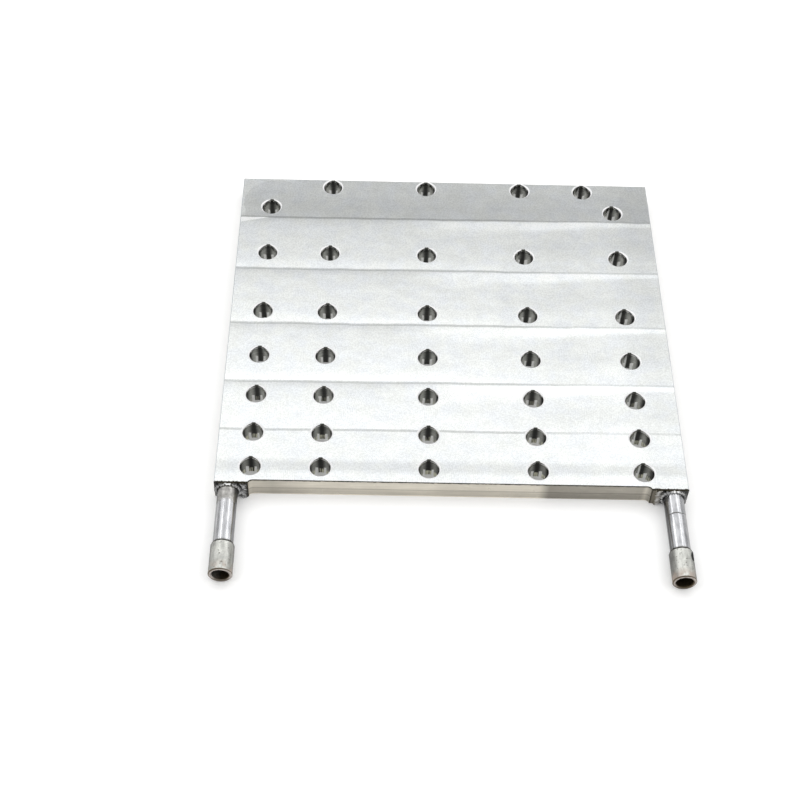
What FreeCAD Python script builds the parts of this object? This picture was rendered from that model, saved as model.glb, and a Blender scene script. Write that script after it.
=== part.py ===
"""Liquid cold plate: a drilled aluminium plate with two welded coolant pipes.

Frame: millimetres, +Z up. The origin is the centre of the plate's underside. The front face,
where both pipes leave, looks along -Y. Inside each body the coordinates run from the plate's
front left corner on the underside, and the body's Placement moves that corner to its place.

The coolant enters a header drilled up the left edge, crosses the plate in bores drilled
from the right edge between the rows of screw holes, and leaves by the header up the right
edge. A plug closes the outer end of each cross bore.
"""

import FreeCAD, Part
import math
import os

import Sketcher

TOLERANCE = 1e-6
SHEET = "Sizes"

# Driving dimensions in millimetres, degrees or counts: alias, value, what it is.
SIZES = [
    ("plate_width", 280.0, "plate, across the pipes"),
    ("plate_depth", 260.0, "plate, front to back"),
    ("plate_thickness", 14.0, "plate"),
    ("edge_break", 0.4, "chamfer round the plate's outer edges"),
    ("recess_depth", 1.7, "front face milled back between the pipe blocks"),
    ("recess_corner_radius", 3.0, "end mill that cut the recess"),
    ("recess_step", 0.15, "second pass of the recess, a little deeper than the first"),
    ("recess_step_height", 6.0, "top of that second pass above the underside"),
    ("inlet_block_width", 20.0, "proud corner block at the inlet"),
    ("outlet_block_width", 22.0, "proud corner block at the outlet"),
    ("hole_diameter", 12.5, "clearance hole for a module screw"),
    ("hole_countersink", 0.9, "width of the countersink at the top of a hole"),
    ("column_1_inset", 20.5, "first column of holes from the left edge"),
    ("column_pitch_12", 41.5, "first to second column"),
    ("column_pitch_23", 64.5, "second to third column"),
    ("column_5_inset", 25.5, "fifth column of holes from the right edge"),
    ("column_pitch_45", 63.0, "fourth to fifth column"),
    ("back_column_offset", 19.5, "extra hole of the back row, inside the fifth column"),
    ("row_1_inset", 12.0, "front row of holes from the front edge"),
    ("row_pitch_12", 25.5, "first to second row"),
    ("row_pitch_23", 29.5, "second to third row"),
    ("row_pitch_34", 32.0, "third to fourth row"),
    ("row_pitch_45", 37.5, "fourth to fifth row"),
    ("row_6_share", 0.547, "sixth row, as a share of the way from the fifth to the seventh"),
    ("row_pitch_78", 20.5, "seventh to eighth row"),
    ("back_hole_wall", 0.8, "metal between the back row of holes and the back face"),
    ("header_diameter", 8.0, "bore up each side edge, behind each pipe"),
    ("cross_bore_diameter", 7.0, "bore across the plate between two rows"),
    ("front_strip_bores", 1, "cross bores between two rows, up to the fifth row"),
    ("back_strip_bores", 2, "cross bores between two rows, behind the fifth row"),
    ("plug_length", 6.0, "plug in the outer end of a cross bore"),
    ("port_seat_depth", 3.0, "counterbore in the corner block that seats the pipe"),
    ("inlet_inset", 8.0, "inlet pipe's axis from the left edge"),
    ("outlet_inset", 8.5, "outlet pipe's axis from the right edge"),
    ("pipe_diameter", 12.0, "drawn pipe, outside"),
    ("pipe_wall", 1.0, "drawn pipe, wall"),
    ("pipe_reach", 40.0, "from the front face to the shoulder of the end sleeve"),
    ("braze_gap", 0.05, "radial gap where a pipe or a plug is brazed in"),
    ("sleeve_diameter", 14.0, "end sleeve, outside"),
    ("sleeve_length", 20.0, "end sleeve"),
    ("sleeve_socket", 12.0, "depth of pipe inside the end sleeve"),
    ("sleeve_shoulder_chamfer", 0.8, "chamfer on the sleeve's rear edge"),
    ("sleeve_mouth_chamfer", 0.5, "chamfer on the sleeve's front edge, outside and inside"),
    ("braze_leg", 0.6, "fillet of filler at the sleeve's rear face"),
    ("weld_leg", 2.6, "fillet weld between pipe and block"),
    ("weld_throat", 1.9, "the same weld, from the root to its crown"),
    ("weld_lip", 0.3, "thickness of the same weld where it ends on the pipe"),
    ("weld_cap_offset", 8.8, "run of weld beside the fillet, from the pipe's axis"),
    ("weld_cap_radius", 3.6, "one puddle of that run, where it meets the block"),
    ("weld_cap_height", 1.1, "how far that run stands off the block"),
    ("weld_cap_puddles", 3, "puddles in that run"),
]


def value(name):
    """A dimension of the sheet, written as an expression."""
    return f"{SHEET}.{name}"


# Places that follow from the driving dimensions, as expressions.
PLATE_WIDTH = value("plate_width")
PLATE_DEPTH = value("plate_depth")
TOP = value("plate_thickness")
PIPE_HEIGHT = f"({TOP} / 2)"
HOLE_RADIUS = f"({value('hole_diameter')} / 2)"
CROSS_RADIUS = f"({value('cross_bore_diameter')} / 2)"
PIPE_RADIUS = f"({value('pipe_diameter')} / 2)"
BORE_RADIUS = f"({PIPE_RADIUS} - {value('pipe_wall')})"
SOCKET_RADIUS = f"({PIPE_RADIUS} + {value('braze_gap')})"

INLET_X = value("inlet_inset")
OUTLET_X = f"({PLATE_WIDTH} - {value('outlet_inset')})"

COLUMN_1 = value("column_1_inset")
COLUMN_2 = f"({COLUMN_1} + {value('column_pitch_12')})"
COLUMN_3 = f"({COLUMN_2} + {value('column_pitch_23')})"
COLUMN_5 = f"({PLATE_WIDTH} - {value('column_5_inset')})"
COLUMN_4 = f"({COLUMN_5} - {value('column_pitch_45')})"
BACK_COLUMN = f"({COLUMN_5} - {value('back_column_offset')})"
COLUMNS = [COLUMN_1, COLUMN_2, COLUMN_3, COLUMN_4, COLUMN_5]

ROW_1 = value("row_1_inset")
ROW_2 = f"({ROW_1} + {value('row_pitch_12')})"
ROW_3 = f"({ROW_2} + {value('row_pitch_23')})"
ROW_4 = f"({ROW_3} + {value('row_pitch_34')})"
ROW_5 = f"({ROW_4} + {value('row_pitch_45')})"
ROW_8 = f"({PLATE_DEPTH} - {HOLE_RADIUS} - {value('back_hole_wall')})"
ROW_7 = f"({ROW_8} - {value('row_pitch_78')})"
ROW_6 = f"({ROW_5} + {value('row_6_share')} * ({ROW_7} - {ROW_5}))"
ROWS = [ROW_1, ROW_2, ROW_3, ROW_4, ROW_5, ROW_6, ROW_7]

# Every screw hole: five columns on the six front rows, the two outer columns on the seventh,
# and four holes on the back row.
HOLES = [(column, row) for row in ROWS[:6] for column in COLUMNS]
HOLES += [(COLUMN_1, ROW_7), (COLUMN_5, ROW_7)]
HOLES += [(column, ROW_8) for column in (COLUMN_2, COLUMN_3, COLUMN_4, BACK_COLUMN)]

doc = FreeCAD.newDocument("cold_plate")


def make_sheet():
    """The driving dimensions, one row each: value, alias and what it is."""
    sheet = doc.addObject("Spreadsheet::Sheet", SHEET)
    for number, (alias, amount, meaning) in enumerate(SIZES, start=1):
        sheet.set(f"A{number}", alias)
        sheet.set(f"B{number}", str(amount))
        sheet.set(f"C{number}", meaning)
        sheet.setAlias(f"B{number}", alias)
    doc.recompute()
    return sheet


sheet = make_sheet()


def number(expression):
    """The present value of an expression, for a sketch's first guess or a comparison."""
    result = sheet.evalExpression(str(expression))
    return float(getattr(result, "Value", result))


def cross_bores_between(front_row, back_row, bores):
    """Axes of the cross bores in the strip between two rows, with equal lands of metal."""
    count = int(number(bores))
    land = (f"(({back_row} - {front_row} - 2 * {HOLE_RADIUS}"
            f" - {bores} * {value('cross_bore_diameter')}) / ({bores} + 1))")
    first = f"({front_row} + {HOLE_RADIUS} + {land} + {CROSS_RADIUS})"
    pitch = f"({land} + {value('cross_bore_diameter')})"
    return [f"({first} + {step} * {pitch})" for step in range(count)]


CROSS_BORES = []
for front_row, back_row in zip(ROWS[:4], ROWS[1:5]):
    CROSS_BORES += cross_bores_between(front_row, back_row, value("front_strip_bores"))
for front_row, back_row in zip(ROWS[4:6], ROWS[5:7]):
    CROSS_BORES += cross_bores_between(front_row, back_row, value("back_strip_bores"))


# ---------------------------------------------------------------- sketches and bodies


def new_body(label):
    """An empty body whose origin is the plate's front left corner on the underside."""
    body = doc.addObject("PartDesign::Body", label)
    body.Label = label
    body.setExpression("Placement.Base.x", f"-{PLATE_WIDTH} / 2")
    body.setExpression("Placement.Base.y", f"-{PLATE_DEPTH} / 2")
    return body


def new_sketch(body, name, plane="XY_Plane", shift=("0", "0", "0")):
    """A sketch on one of the body's origin planes, shifted in the plane and off it."""
    sketch = body.newObject("Sketcher::SketchObject", name)
    support = [face for face in body.Origin.OriginFeatures if face.Role == plane][0]
    sketch.AttachmentSupport = [(support, "")]
    sketch.MapMode = "FlatFace"
    for axis, expression in zip("xyz", shift):
        if expression != "0":
            sketch.setExpression(f"AttachmentOffset.Base.{axis}", expression)
    return sketch


def fix(sketch, kind, geometry, point, expression):
    """Dimension a point's X or Y from the sketch's origin."""
    if expression == "0":
        axis_line = -2 if kind == "DistanceX" else -1
        sketch.addConstraint(Sketcher.Constraint("PointOnObject", geometry, point, axis_line))
        return
    index = sketch.addConstraint(
        Sketcher.Constraint(kind, -1, 1, geometry, point, number(expression)))
    sketch.setExpression(f"Constraints[{index}]", expression)


def set_radius(sketch, geometry, expression):
    index = sketch.addConstraint(Sketcher.Constraint("Radius", geometry, number(expression)))
    sketch.setExpression(f"Constraints[{index}]", expression)


def draw_circle(sketch, x, y, radius):
    centre = FreeCAD.Vector(number(x), number(y), 0)
    circle = Part.Circle(centre, FreeCAD.Vector(0, 0, 1), number(radius))
    index = sketch.addGeometry(circle)
    fix(sketch, "DistanceX", index, 3, x)
    fix(sketch, "DistanceY", index, 3, y)
    set_radius(sketch, index, radius)


def draw_profile(sketch, corners):
    """A closed outline of straight lines through corners given as expressions."""
    points = [FreeCAD.Vector(number(x), number(y), 0) for x, y in corners]
    lines = []
    for start, end in zip(points, points[1:] + points[:1]):
        lines.append(sketch.addGeometry(Part.LineSegment(start, end)))
    for index, (x, y) in enumerate(corners):
        line = lines[index]
        sketch.addConstraint(Sketcher.Constraint("Coincident", lines[index - 1], 2, line, 1))
        fix(sketch, "DistanceX", line, 1, x)
        fix(sketch, "DistanceY", line, 1, y)


def flat_edges(shape, height):
    """Names of the edges that lie wholly at one height."""
    names = []
    for index, edge in enumerate(shape.Edges, start=1):
        box = edge.BoundBox
        if abs(box.ZMin - height) < TOLERANCE and abs(box.ZMax - height) < TOLERANCE:
            names.append(f"Edge{index}")
    return names


def cut_from(body, name, sketch, **settings):
    """A Pocket, which must take metal away: one that points outwards fails here."""
    before = body.Shape.Volume
    cut = body.newObject("PartDesign::Pocket", name)
    cut.Profile = sketch
    for setting, amount in settings.items():
        if isinstance(amount, str) and SHEET in amount:
            cut.setExpression(setting, amount)
        else:
            setattr(cut, setting, amount)
    doc.recompute()
    if body.Shape.Volume > before - TOLERANCE:
        raise RuntimeError(f"{name} cuts nothing")
    return cut


# ---------------------------------------------------------------- the plate


def draw_plate_outline(sketch):
    """The plate seen from above: proud corner blocks and a milled recess between them."""
    width, depth = number(PLATE_WIDTH), number(PLATE_DEPTH)
    recess = number(value("recess_depth"))
    radius = number(value("recess_corner_radius"))
    block_in = number(value("inlet_block_width"))
    block_out = width - number(value("outlet_block_width"))
    run = math.sqrt(radius ** 2 - (radius - recess) ** 2)
    swing = math.atan2(radius - recess, run)
    up = FreeCAD.Vector(0, 0, 1)

    def line(x_start, y_start, x_end, y_end):
        start = FreeCAD.Vector(x_start, y_start, 0)
        end = FreeCAD.Vector(x_end, y_end, 0)
        return sketch.addGeometry(Part.LineSegment(start, end))

    def arc(x_centre, begin, end):
        circle = Part.Circle(FreeCAD.Vector(x_centre, recess - radius, 0), up, radius)
        return sketch.addGeometry(Part.ArcOfCircle(circle, begin, end))

    block_left = line(0, 0, block_in, 0)
    arc_left = arc(block_in + run, math.pi / 2, math.pi - swing)
    face = line(block_in + run, recess, block_out - run, recess)
    arc_right = arc(block_out - run, swing, math.pi / 2)
    block_right = line(block_out, 0, width, 0)
    right = line(width, 0, width, depth)
    back = line(width, depth, 0, depth)
    left = line(0, depth, 0, 0)

    joined = [(block_left, 2, arc_left, 2), (arc_right, 1, block_right, 1),
              (block_right, 2, right, 1), (right, 2, back, 1), (back, 2, left, 1),
              (left, 2, block_left, 1)]
    for first, first_point, second, second_point in joined:
        sketch.addConstraint(
            Sketcher.Constraint("Coincident", first, first_point, second, second_point))
    sketch.addConstraint(Sketcher.Constraint("Tangent", arc_left, 1, face, 1))
    sketch.addConstraint(Sketcher.Constraint("Tangent", face, 2, arc_right, 2))
    sketch.addConstraint(Sketcher.Constraint("Coincident", block_left, 1, -1, 1))
    sketch.addConstraint(Sketcher.Constraint("Horizontal", face))
    sketch.addConstraint(Sketcher.Constraint("Vertical", right))
    sketch.addConstraint(Sketcher.Constraint("Horizontal", back))
    sketch.addConstraint(Sketcher.Constraint("Vertical", left))
    fix(sketch, "DistanceX", block_left, 2, value("inlet_block_width"))
    fix(sketch, "DistanceY", block_left, 2, "0")
    fix(sketch, "DistanceX", block_right, 1, f"{PLATE_WIDTH} - {value('outlet_block_width')}")
    fix(sketch, "DistanceY", block_right, 1, "0")
    fix(sketch, "DistanceX", block_right, 2, PLATE_WIDTH)
    fix(sketch, "DistanceY", block_right, 2, "0")
    fix(sketch, "DistanceY", right, 2, PLATE_DEPTH)
    fix(sketch, "DistanceY", face, 1, value("recess_depth"))
    set_radius(sketch, arc_left, value("recess_corner_radius"))
    set_radius(sketch, arc_right, value("recess_corner_radius"))


def plate_blank(body):
    """The sawn and milled blank, with its outer edges broken."""
    outline = new_sketch(body, "plate_outline")
    draw_plate_outline(outline)
    pad = body.newObject("PartDesign::Pad", "blank")
    pad.Profile = outline
    pad.setExpression("Length", TOP)
    doc.recompute()
    chamfer = body.newObject("PartDesign::Chamfer", "broken_edges")
    chamfer.Base = (pad, flat_edges(pad.Shape, 0) + flat_edges(pad.Shape, number(TOP)))
    chamfer.setExpression("Size", value("edge_break"))
    doc.recompute()


def mill_recess_step(body):
    """The recess's lower pass, which leaves a fine line along the front face."""
    left = f"({value('inlet_block_width')} + {value('recess_corner_radius')})"
    right = (f"({PLATE_WIDTH} - {value('outlet_block_width')}"
             f" - {value('recess_corner_radius')})")
    depth = f"({value('recess_depth')} + {value('recess_step')})"
    sketch = new_sketch(body, "recess_step_outline")
    draw_profile(sketch, [(left, "0"), (right, "0"), (right, depth), (left, depth)])
    cut_from(body, "recess_second_pass", sketch,
             Length=value("recess_step_height"), Reversed=True)


def drill_from_front(body, name, radius, depth):
    """The same bore on both pipes' axes."""
    sketch = new_sketch(body, f"{name}_section", plane="XZ_Plane")
    for x in (INLET_X, OUTLET_X):
        draw_circle(sketch, x, PIPE_HEIGHT, radius)
    cut_from(body, name, sketch, Length=depth)


def drill_cross_bores(body):
    """The bores from the right face that join the two headers."""
    sketch = new_sketch(body, "cross_bore_sections", plane="YZ_Plane",
                        shift=("0", "0", PLATE_WIDTH))
    for y in CROSS_BORES:
        draw_circle(sketch, y, PIPE_HEIGHT, CROSS_RADIUS)
    cut_from(body, "cross_bores", sketch, Length=f"{PLATE_WIDTH} - {INLET_X}")


def bore_screw_holes(body):
    """All the screw holes, through the plate and countersunk at the top.

    Those of the back row stand so near the edge that their countersinks break out there.
    """
    sketch = new_sketch(body, "hole_centres", shift=("0", "0", TOP))
    for x, y in HOLES:
        draw_circle(sketch, x, y, HOLE_RADIUS)
    doc.recompute()
    before = body.Shape.Volume
    hole = body.newObject("PartDesign::Hole", "screw_holes")
    hole.Profile = sketch
    hole.Threaded = False
    hole.DepthType = "ThroughAll"
    hole.DrillPoint = "Flat"
    hole.HoleCutType = "Countersink"
    hole.HoleCutCustomValues = True
    hole.HoleCutCountersinkAngle = 90
    hole.setExpression("Diameter", value("hole_diameter"))
    hole.setExpression("HoleCutDiameter",
                       f"{value('hole_diameter')} + 2 * {value('hole_countersink')}")
    doc.recompute()
    if body.Shape.Volume > before - TOLERANCE:
        raise RuntimeError("the plate has no screw holes")


def cold_plate():
    """The plate: blank, recess, coolant bores and screw holes."""
    body = new_body("cold_plate")
    plate_blank(body)
    mill_recess_step(body)
    last_bore = CROSS_BORES[-1]
    drill_from_front(body, "headers", f"({value('header_diameter')} / 2)",
                     f"{last_bore} + {CROSS_RADIUS}")
    drill_from_front(body, "port_seats", SOCKET_RADIUS, value("port_seat_depth"))
    drill_cross_bores(body)
    bore_screw_holes(body)
    return body


def bore_plug(label, y):
    """A turned slug brazed into a cross bore's outer end, flush with the plate's right face."""
    body = new_body(label)
    inner_end = f"{PLATE_WIDTH} - {value('plug_length')}"
    sketch = new_sketch(body, f"{label}_section", plane="YZ_Plane", shift=("0", "0", inner_end))
    draw_circle(sketch, y, PIPE_HEIGHT, f"({CROSS_RADIUS} - {value('braze_gap')})")
    pad = body.newObject("PartDesign::Pad", f"{label}_slug")
    pad.Profile = sketch
    pad.setExpression("Length", value("plug_length"))
    doc.recompute()
    return body


# ---------------------------------------------------------------- pipes and sleeves


def pipe(label, x):
    """A straight drawn pipe, from its seat in the corner block into the end sleeve."""
    body = new_body(label)
    seat = value("port_seat_depth")
    sketch = new_sketch(body, f"{label}_section", plane="XZ_Plane", shift=("0", "0", f"-{seat}"))
    draw_circle(sketch, x, PIPE_HEIGHT, PIPE_RADIUS)
    draw_circle(sketch, x, PIPE_HEIGHT, BORE_RADIUS)
    pad = body.newObject("PartDesign::Pad", f"{label}_length")
    pad.Profile = sketch
    pad.setExpression("Length", f"{seat} + {value('pipe_reach')} + {value('sleeve_socket')}")
    doc.recompute()
    return body


def revolve(body, sketch, name):
    """Turn a profile a full turn about its sketch's own upright axis."""
    turned = body.newObject("PartDesign::Revolution", name)
    turned.Profile = sketch
    turned.ReferenceAxis = (sketch, ["V_Axis"])
    turned.Angle = 360
    doc.recompute()
    return turned


def end_sleeve(label, x):
    """A turned end sleeve: bored like the pipe in front, counterbored behind to take it."""
    body = new_body(label)
    length = value("sleeve_length")
    outer = f"({value('sleeve_diameter')} / 2)"
    rim = value("sleeve_mouth_chamfer")
    shoulder = value("sleeve_shoulder_chamfer")
    stop = f"({length} - {value('sleeve_socket')})"
    mouth = f"-{value('pipe_reach')} - {length}"
    sketch = new_sketch(body, f"{label}_profile", shift=(x, mouth, PIPE_HEIGHT))
    draw_profile(sketch, [
        (f"{BORE_RADIUS} + {rim}", "0"),
        (f"{outer} - {rim}", "0"),
        (outer, rim),
        (outer, f"{length} - {shoulder}"),
        (f"{outer} - {shoulder}", length),
        (SOCKET_RADIUS, length),
        (SOCKET_RADIUS, stop),
        (BORE_RADIUS, stop),
        (BORE_RADIUS, rim),
    ])
    revolve(body, sketch, f"{label}_turned")
    return body


def braze_ring(label, x):
    """The fillet of filler round the pipe where it enters the end sleeve."""
    body = new_body(label)
    leg = value("braze_leg")
    sketch = new_sketch(body, f"{label}_profile",
                        shift=(x, f"-{value('pipe_reach')}", PIPE_HEIGHT))
    draw_profile(sketch, [
        (SOCKET_RADIUS, "0"),
        (f"{SOCKET_RADIUS} + {leg}", "0"),
        (SOCKET_RADIUS, leg),
    ])
    revolve(body, sketch, f"{label}_turned")
    return body


# ---------------------------------------------------------------- welds


# Turns a cone's or a cylinder's own axis from +Z to -Y, out of the front face.
FACING_FRONT = FreeCAD.Rotation(FreeCAD.Vector(1, 0, 0), 90)


def place(piece, x, y, z):
    """Bind a primitive's place to the sheet."""
    for axis, expression in zip("xyz", (x, y, z)):
        piece.setExpression(f"Placement.Base.{axis}", expression)


def weld_stage(label, x, z, start, radius_at_start, radius_at_end, length):
    """One tapering stage of weld metal, standing off the block along -Y."""
    stage = doc.addObject("Part::Cone", label)
    stage.Placement = FreeCAD.Placement(FreeCAD.Vector(), FACING_FRONT)
    stage.setExpression("Radius1", radius_at_start)
    stage.setExpression("Radius2", radius_at_end)
    stage.setExpression("Height", length)
    place(stage, x, f"-{start}", z)
    return stage


def weld(label, x, block_start, block_width, inward):
    """A convex fillet weld round a pipe, and the run that covers the rest of the block.

    The plate's faces are milled after welding, so the weld ends flush with them.
    """
    leg = value("weld_leg")
    crown = f"({value('weld_throat')} * sqrt(2) / 2)"
    reach = f"(2 * {leg})"
    metal = [
        weld_stage(f"{label}_foot", x, PIPE_HEIGHT, "0",
                   f"{PIPE_RADIUS} + {leg}", f"{PIPE_RADIUS} + {crown}", crown),
        weld_stage(f"{label}_crown", x, PIPE_HEIGHT, crown,
                   f"{PIPE_RADIUS} + {crown}", f"{PIPE_RADIUS} + {value('weld_lip')}",
                   f"{leg} - {crown}"),
    ]
    caps = int(number(value("weld_cap_puddles")))
    for step in range(caps):
        height = f"{TOP} * ({step} + 0.5) / {value('weld_cap_puddles')}"
        metal.append(weld_stage(
            f"{label}_cap_{step + 1}", f"{x} {inward} {value('weld_cap_offset')}", height, "0",
            value("weld_cap_radius"), f"{value('weld_cap_radius')} - {value('weld_cap_height')}",
            value("weld_cap_height")))

    laid = doc.addObject("Part::MultiFuse", f"{label}_laid")
    laid.Shapes = metal

    block = doc.addObject("Part::Box", f"{label}_block")
    block.setExpression("Length", block_width)
    block.setExpression("Width", reach)
    block.setExpression("Height", TOP)
    place(block, block_start, f"-{reach}", "0")

    flush = doc.addObject("Part::MultiCommon", f"{label}_flush")
    flush.Shapes = [laid, block]

    core = doc.addObject("Part::Cylinder", f"{label}_pipe")
    core.Placement = FreeCAD.Placement(FreeCAD.Vector(), FACING_FRONT)
    core.setExpression("Radius", SOCKET_RADIUS)
    core.setExpression("Height", f"2 * {reach}")
    place(core, x, reach, PIPE_HEIGHT)

    bead = doc.addObject("Part::Cut", label)
    bead.Label = label
    bead.Base = flush
    bead.Tool = core
    place(bead, f"-{PLATE_WIDTH} / 2", f"-{PLATE_DEPTH} / 2", "0")
    doc.recompute()
    return bead


# ---------------------------------------------------------------- build and write


def check(parts):
    """Stop if any object failed or any part's shape isn't one valid solid."""
    for item in doc.Objects:
        if "Invalid" in item.State or "Error" in item.State:
            raise RuntimeError(f"{item.Name} is {item.State}")
    for part in parts:
        shape = part.Shape
        if shape.isNull() or not shape.isValid() or len(shape.Solids) != 1:
            raise RuntimeError(f"{part.Label} has no single valid solid")


parts = [cold_plate()]
for index, bore in enumerate(CROSS_BORES, start=1):
    parts.append(bore_plug(f"bore_plug_{index}", bore))
parts += [
    pipe("inlet_pipe", INLET_X),
    pipe("outlet_pipe", OUTLET_X),
    weld("inlet_weld", INLET_X, "0", value("inlet_block_width"), "+"),
    weld("outlet_weld", OUTLET_X, f"{PLATE_WIDTH} - {value('outlet_block_width')}",
         value("outlet_block_width"), "-"),
    end_sleeve("inlet_sleeve", INLET_X),
    end_sleeve("outlet_sleeve", OUTLET_X),
    braze_ring("inlet_braze_ring", INLET_X),
    braze_ring("outlet_braze_ring", OUTLET_X),
]
doc.recompute()
check(parts)

os.makedirs("parts", exist_ok=True)
for part in parts:
    part.Shape.exportStep(os.path.join("parts", f"{part.Label}.step"))
    box = part.Shape.BoundBox
    print(f"{part.Label}: {part.Shape.Volume / 1000:.2f} cm3, "
          f"x {box.XMin:.2f} {box.XMax:.2f}, y {box.YMin:.2f} {box.YMax:.2f}, "
          f"z {box.ZMin:.2f} {box.ZMax:.2f}")
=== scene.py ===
import math
import random

import bmesh
import bpy
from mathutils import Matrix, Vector


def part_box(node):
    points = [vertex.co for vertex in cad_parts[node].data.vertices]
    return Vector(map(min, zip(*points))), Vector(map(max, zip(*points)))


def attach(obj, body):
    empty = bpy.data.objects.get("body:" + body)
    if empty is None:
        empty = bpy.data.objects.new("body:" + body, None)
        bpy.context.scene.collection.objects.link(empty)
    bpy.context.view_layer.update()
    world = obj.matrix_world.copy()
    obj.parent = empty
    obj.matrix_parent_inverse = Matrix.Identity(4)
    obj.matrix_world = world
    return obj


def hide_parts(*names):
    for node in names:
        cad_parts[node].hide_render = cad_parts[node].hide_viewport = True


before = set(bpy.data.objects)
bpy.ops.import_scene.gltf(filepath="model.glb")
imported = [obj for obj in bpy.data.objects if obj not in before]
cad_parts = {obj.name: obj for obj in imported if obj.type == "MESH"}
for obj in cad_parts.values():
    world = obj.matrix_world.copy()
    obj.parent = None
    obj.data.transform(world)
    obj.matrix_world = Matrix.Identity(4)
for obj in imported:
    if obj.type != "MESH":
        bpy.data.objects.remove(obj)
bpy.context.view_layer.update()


# ---------------------------------------------------------------- the plate
# One slab of aluminium that carries everything else. A fly cutter faced its top in six
# passes, and an end mill took its front face back between the two corner blocks.
# The screw holes, the coolant bores and the seats of the pipes are drilled after that.

plate_low, plate_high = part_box("cold_plate")
front = plate_low.y
underside, top = plate_low.z, plate_high.z
edge_break = 0.0004
recess_depth = 0.0017
recess_corner = 0.003
left_block, right_block = 0.020, 0.022
recess_left = plate_low.x + left_block
recess_right = plate_high.x - right_block
lower_pass_depth = 0.00015
lower_pass_top = 0.006


def node(tree, kind, inputs=(), output=0, **settings):
    """Adds a shader node and returns an output. An input is a value or another's output."""
    made = tree.nodes.new("ShaderNode" + kind)
    for setting, value in settings.items():
        setattr(made, setting, value)
    named = inputs.items() if isinstance(inputs, dict) else enumerate(inputs)
    for socket, value in named:
        if isinstance(value, bpy.types.NodeSocket):
            tree.links.new(value, made.inputs[socket])
        else:
            made.inputs[socket].default_value = value
    return made.outputs[output]


def new_finish(name, colour, roughness, metal=1.0):
    """A finish before its pattern: the material, its nodes, and the place in millimetres."""
    finish = bpy.data.materials.new(name)
    finish.use_nodes = True
    tree = finish.node_tree
    shader = tree.nodes["Principled BSDF"]
    shader.inputs["Base Color"].default_value = (*colour, 1)
    shader.inputs["Metallic"].default_value = metal
    shader.inputs["Roughness"].default_value = roughness
    metres = node(tree, "TexCoord", output="Object")
    place = node(tree, "VectorMath", {"Vector": metres, "Scale": 1000}, operation="SCALE")
    return finish, tree, shader, place


def split(tree, place):
    """The x, y and z of a place."""
    made = node(tree, "SeparateXYZ", (place,)).node
    return made.outputs[0], made.outputs[1], made.outputs[2]


def maths(tree, operation, *values):
    """A sum on amounts, such as ADD or SINE."""
    return node(tree, "Math", values, operation=operation)


def spread(tree, amount, low, high, to_low, to_high):
    """An amount from low to high as one from to_low to to_high, held between them."""
    return node(tree, "MapRange", (amount, low, high, to_low, to_high))


def noise(tree, place, size, detail=2.0, stretch=(1, 1, 1)):
    """Cloudy noise, whose blotches are about size millimetres across."""
    scale = [side / size for side in stretch]
    where = node(tree, "Mapping", {"Vector": place, "Scale": scale})
    return node(tree, "TexNoise", {"Vector": where, "Scale": 1, "Detail": detail})


def blend(tree, share, first, second, how="MIX"):
    """One colour over another."""
    return node(tree, "Mix", {0: share, 6: first, 7: second}, 2, data_type="RGBA",
                blend_type=how)


def tinted(tree, tone, tint):
    """A colour multiplied by a tint or a grey."""
    return blend(tree, 1.0, tone, tint, "MULTIPLY")


def grey(tone):
    """A tone as a colour."""
    return (tone, tone, tone, 1)


def tones(tree, amount, stops):
    """Greys along an amount, as stops of (amount, tone), held past the first and the last."""
    low, high = stops[0][0], stops[-1][0]
    made = node(tree, "ValToRGB", (spread(tree, amount, low, high, 0, 1),)).node
    elements = made.color_ramp.elements
    elements.remove(elements[1])
    elements[0].position = 0
    elements[0].color = grey(stops[0][1])
    for at, tone in stops[1:]:
        elements.new((at - low) / (high - low)).color = grey(tone)
    return made.outputs[0]


def distance(tree, place, point):
    """How far a place lies from a point."""
    return node(tree, "VectorMath", (place, point), "Value", operation="DISTANCE")


def squares(tree, first, second):
    """The sum of the squares of two amounts."""
    return maths(tree, "ADD", maths(tree, "POWER", first, 2.0),
                 maths(tree, "POWER", second, 2.0))


def emboss(tree, shader, height, depth):
    """Raises the surface by up to depth millimetres, as far as height says."""
    relief = node(tree, "Bump", {"Height": height, "Distance": depth / 1000,
                                 "Strength": 1.0})
    tree.links.new(relief, shader.inputs["Normal"])


def band(tree, amount, low, high, soft):
    """1 where an amount lies between low and high, fading to 0 over soft outside them."""
    above = spread(tree, amount, low - soft, low, 0, 1)
    below = spread(tree, amount, high, high + soft, 1, 0)
    return maths(tree, "MULTIPLY", above, below)


# The fly-cut top. A fine dark line parts two passes. On the left a pass starts bright and is
# dull before the next line, and on the right it ends in a bright strip; these tones are partly
# each pass's own cut and partly painted reflection of the lamps. The tones are for distances into
# a pass, in millimetres. The strips at the front and the back are plainer.
left_pass_and_sheen = ((0, 0.88), (3, 0.94), (10, 0.83), (34, 0.80), (43, 0.76), (48, 0.65))
middle_pass_and_sheen = ((0, 0.82), (3, 0.90), (11, 0.82), (32, 0.79), (42, 0.91), (46, 0.91), (48, 0.80))
right_pass_and_sheen = ((0, 0.77), (10, 0.79), (22, 0.72), (38, 0.77), (42, 0.95), (48, 0.97))
# The back strip's tones are painted shade.
front_strip, front_smudge, back_strip_shade = 0.78, 0.65, (0.60, 0.70)
smudge_place, back_strip_shade_place = (-119, -115), (104, 124)
pass_lines = (-90.0, -52.3, -4.1, 44.2, 92.4)
pass_width = 48.3
line_slope = 0.005
line_before, line_after = 0.3, 0.9
left_to_middle, middle_to_right, right_end_shade = (-38, 6), (22, 78), (104, 128)
cutter_radius = 31
cutter_feed = 1.1
soot_colour = (0.03, 0.027, 0.018, 1)
pits = ((117.3, -129.0), (-119.4, -129.3))
plate_thickness = (top - underside) * 1000

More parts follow.
